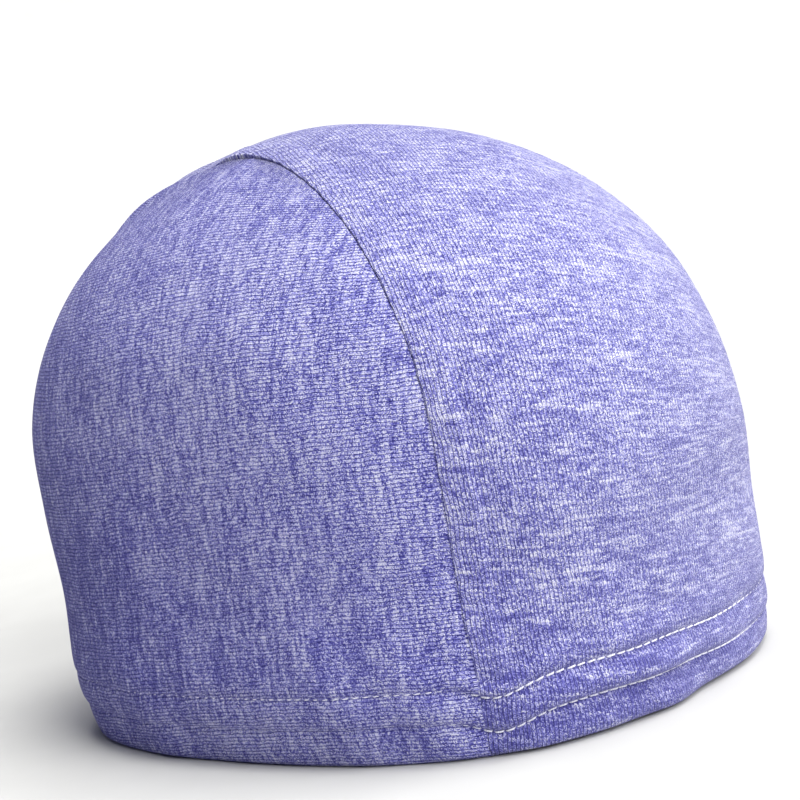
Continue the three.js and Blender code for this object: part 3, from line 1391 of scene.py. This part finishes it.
@dataclass(frozen=True)
class StitchRow(Sewn):
    """Row of separate straight stitches round the hem. Each is a short thread that rises out of
    the cloth, lies on it and goes back in, a little slanted against the row. They stand proud at
    the forehead and lie sunk in the cloth elsewhere."""

    row: Row
    pitch: float = 2.7
    length: float = 2.45
    thread: float = 0.25
    slant: float = 0.0018
    jitter: float = 0.12
    slants: Span = (0.6, 1.4)
    lengths: Span = (0.94, 1.04)
    sunk: float = 0.24
    proud: float = 0.28
    proud_start: Span = (-133.0, -128.0)
    proud_end: Span = (-90.0, -72.0)
    lower_proud: float = 0.42
    lower_angle: float = -103.0
    lower_spread: float = 14.0
    seam_edge: Span = (-1.0, 1.0)
    allowance_end: Span = (6.0, 9.0)
    arch: float = 0.75
    dive: float = 2.6
    tip: float = 0.12
    rings: int = 6
    sides: int = 6
    samples: int = 1441
    lower_seed: int = 41
    upper_seed: int = 42

    def lay_out(self) -> tuple[Array, Array, Array]:
        """Spaces the stitches evenly along the row, then shifts, slants and lengthens each a
        little at random.

        Returns:
            Climb, angle and distance along the row for the rings of every stitch.
        """
        turn = np.linspace(0.0, TAU, self.samples)
        climb = self.sewing.row_climb(self.row, np.degrees(turn))
        way = way_along(self.form.face(*place_at(climb, turn)))
        count = int(round(way[-1] / self.pitch))
        seed = self.lower_seed if self.row is Row.LOWER else self.upper_seed
        rng = np.random.default_rng(seed)
        start = np.arange(count) * (way[-1] / count) + rng.uniform(-self.jitter, self.jitter, count)
        slant = self.slant * rng.uniform(*self.slants, count)
        bit = np.linspace(0.0, 1.0, self.rings)
        place = start[:, None] + bit * self.length * rng.uniform(*self.lengths, count)[:, None]
        angle = np.interp(place, way, turn)
        climb = self.sewing.row_climb(self.row, np.degrees(angle)) + slant[:, None] * (bit - 0.5)
        return climb, angle, place

    def rise(self, climb: Array, angle: Array, x: Array, y: Array, points: Array) -> Array:
        """How high the thread lies: on the relief of the cloth, with the allowance's band where
        it crosses the centre panel, sunk or proud by the angle.

        Args:
            climb: Climbs of the points.
            angle: Their angles about the crown.
            x: Their places across the disc.
            y: Their places along it.
            points: The points on the face.

        Returns:
            Distance out of the face.
        """
        s = self.sewing
        gap, _ = self.form.seam_gap(points)
        seam = self.form.across_panel(np.sign(y) * (1.0 - climb), np.ones_like(climb))
        beside = np.abs(points[..., 0]) - np.abs(self.form.face(*seam)[..., 0])
        band = (1.0 - smooth(beside, *self.seam_edge)) * (1.0 - smooth(gap, *self.allowance_end))
        degrees = np.degrees(angle) - 360.0
        proud = smooth(degrees, *self.proud_start) * (1.0 - smooth(degrees, *self.proud_end))
        height = self.proud * proud - self.sunk * (1.0 - proud)
        if self.row is Row.LOWER:
            height = height + self.lower_proud * bell(degrees - self.lower_angle, self.lower_spread)
        return s.ground(x, y, points) + s.lift(points[..., 2]) * band + height

    def build(self, finish: Material) -> Piece:
        """Builds all stitches at once: rings of points round an arched line between two places of
        the row, closed at both ends.

        Args:
            finish: The thread.

        Returns:
            The piece.
        """
        climb, angle, place = self.lay_out()
        x, y = place_at(climb, angle)
        points, normals = self.form.surface(x, y)
        out = np.abs(np.linspace(-1.0, 1.0, self.rings))
        height = self.rise(climb, angle, x, y, points) + self.thread * (self.arch - self.dive * out**4)
        middle = points + normals * height[..., None]
        ahead = unit(np.gradient(middle, axis=1))
        aside = unit(np.cross(normals, ahead))[:, :, None]
        up = np.cross(ahead, aside[:, :, 0])[:, :, None]
        radius = self.thread * np.sqrt(np.maximum(1.0 - out**5, self.tip))
        around = np.arange(self.sides) * TAU / self.sides
        ring = np.cos(around)[:, None] * aside + np.sin(around)[:, None] * up
        tube = middle[:, :, None] + radius[:, None, None] * ring
        tube = tube.reshape(len(place), self.rings * self.sides, 3)
        fan = np.arange(self.sides - 1, 2, -2)
        cap = np.stack([0 * fan, fan, fan - 1, fan - 2], 1)
        corner = np.concatenate([quads(self.rings, self.sides, True), cap,
                                 cap[:, ::-1] + (self.rings - 1) * self.sides])
        faces = (corner + np.arange(len(place))[:, None, None] * tube.shape[1]).reshape(-1, 4)
        flat = np.stack(np.broadcast_arrays(place[:, :, None], around / TAU), -1)
        piece = mesh_object("hem_stitches_" + self.row.value, tube.reshape(-1, 3), faces,
                            flat.reshape(-1, 2))
        return set_down(piece, finish)


@dataclass(frozen=True)
class Lamp:
    """Soft light from far away: its direction as the photograph's viewer sees it, to the right,
    towards the viewer and upwards, and its power in watts per square metre."""

    name: str
    right: float
    towards: float
    up: float
    power: float


@dataclass(frozen=True)
class Studio:
    """Camera at the photograph's angle, plain floor and soft lights."""

    azimuth: float = -48.46
    elevation: float = 8.67
    roll: float = 10.65
    distance: float = 652.5
    focal_pixels: float = 2464.6
    image: float = 800.0
    sensor: float = 36.0
    centre_x: float = 378.9
    centre_y: float = 423.5
    target: tuple[float, float, float] = (0.0, 0.0, 70.0)
    seen: Span = (0.01, 20.0)
    lamps: tuple[Lamp, ...] = (
        Lamp("key", 0.49, 0.70, 0.51, 3.5),
        Lamp("top", 0.24, 0.09, 0.97, 3.9),
        Lamp("side", 0.87, -0.23, 0.42, 1.1),
    )
    softness: float = 40.0
    warm: Colour = (1.0, 0.995, 0.94)
    cool: Colour = (0.35, 0.42, 1.0)
    glow: float = 0.115
    floor_near: float = -20000.0
    floor_far: float = 1500.0
    floor_half: float = 20000.0
    sweep_radius: float = 900.0
    sweep_points: int = 24
    backdrop: float = 3500.0

    def axes(self) -> tuple[Vector, Vector, Vector]:
        """The view's right, up and back directions, rolled.

        Returns:
            Three unit vectors.
        """
        a, e, r = (math.radians(v) for v in (self.azimuth, self.elevation, self.roll))
        right = Vector((math.cos(a), math.sin(a), 0.0))
        back = Vector((math.sin(a) * math.cos(e), -math.cos(a) * math.cos(e), math.sin(e)))
        up = back.cross(right)
        return (math.cos(r) * right - math.sin(r) * up, math.sin(r) * right + math.cos(r) * up,
                back)

    def level(self) -> tuple[Vector, Vector]:
        """The level directions to the viewer's right and towards the viewer."""
        a = math.radians(self.azimuth)
        return Vector((math.cos(a), math.sin(a), 0.0)), Vector((math.sin(a), -math.cos(a), 0.0))

    def camera(self) -> None:
        """Adds the camera. The picture's middle is moved with the lens shift."""
        right, up, back = self.axes()
        data = bpy.data.cameras.new("camera")
        data.sensor_width = self.sensor
        data.lens = self.focal_pixels / self.image * data.sensor_width
        data.shift_x = (self.image / 2.0 - self.centre_x) / self.image
        data.shift_y = (self.centre_y - self.image / 2.0) / self.image
        data.clip_start, data.clip_end = self.seen
        camera = bpy.data.objects.new("camera", data)
        place = Vector(self.target) * MM + back * self.distance * MM
        turn = Matrix((right, up, back)).transposed().to_4x4()
        camera.matrix_world = Matrix.Translation(place) @ turn
        bpy.context.scene.collection.objects.link(camera)
        bpy.context.scene.camera = camera

    def shine(self, lamp: Lamp) -> None:
        """Adds one of the lights.

        Args:
            lamp: Which.
        """
        right, towards = self.level()
        data = bpy.data.lights.new(lamp.name, "SUN")
        data.energy, data.angle, data.color = lamp.power, math.radians(self.softness), self.warm
        obj = bpy.data.objects.new(lamp.name, data)
        aim = right * lamp.right + towards * lamp.towards + Vector((0.0, 0.0, lamp.up))
        obj.matrix_world = Matrix.Translation(aim) @ aim.to_track_quat("Z", "Y").to_matrix().to_4x4()
        bpy.context.scene.collection.objects.link(obj)

    def sweep(self) -> None:
        """Adds the floor and the backdrop as one sheet: flat, then up a quarter round."""
        right, towards = (np.array(v) for v in self.level())
        turn = np.linspace(0.0, math.pi / 2.0, self.sweep_points)
        out = self.floor_far + self.sweep_radius * np.sin(turn)
        out = np.concatenate([[self.floor_near], out, [self.floor_far + self.sweep_radius]])
        up = self.sweep_radius * (1.0 - np.cos(turn))
        up = np.concatenate([[0.0], up, [self.backdrop]])
        aside = np.linspace(-self.floor_half, self.floor_half, 3)
        points = aside[:, None] * right - out[:, None, None] * towards
        points = points + up[:, None, None] * np.array([0.0, 0.0, 1.0])
        floor = mesh_object("floor", points.reshape(-1, 3), quads(len(out), 3),
                            points[..., :2].reshape(-1, 2))
        floor.data.materials.append(PaleFloor().make())

    def build(self) -> None:
        """Adds the camera, the floor, the lights and the pale surroundings."""
        self.camera()
        self.sweep()
        for lamp in self.lamps:
            self.shine(lamp)
        world = bpy.data.worlds.new("studio")
        world.use_nodes = True
        surroundings = world.node_tree.nodes["Background"]
        surroundings.inputs["Color"].default_value = (*self.cool, 1.0)
        surroundings.inputs["Strength"].default_value = self.glow
        bpy.context.scene.world = world
        bpy.context.scene.view_settings.view_transform = "Standard"


def main() -> None:
    """Builds the studio and the cap."""
    logging.basicConfig(level=logging.INFO, format="%(message)s")
    Studio().build()
    form, sewing, grid = CapForm(), Sewing(), CapGrid()
    knit, side_knit, thread = HeatherKnit().make(), SIDE_KNIT.make(), WhiteThread().make()
    CentrePanel(form, sewing, grid).build(knit)
    for side in Side:
        SidePanel(form, sewing, grid, side).build(side_knit)
    HemTurnup(form, sewing).build(side_knit)
    for side in Side:
        SeamAllowance(form, sewing, side).build(side_knit)
    for row in Row:
        StitchRow(form, sewing, row).build(thread)


if __name__ == "__main__":
    main()
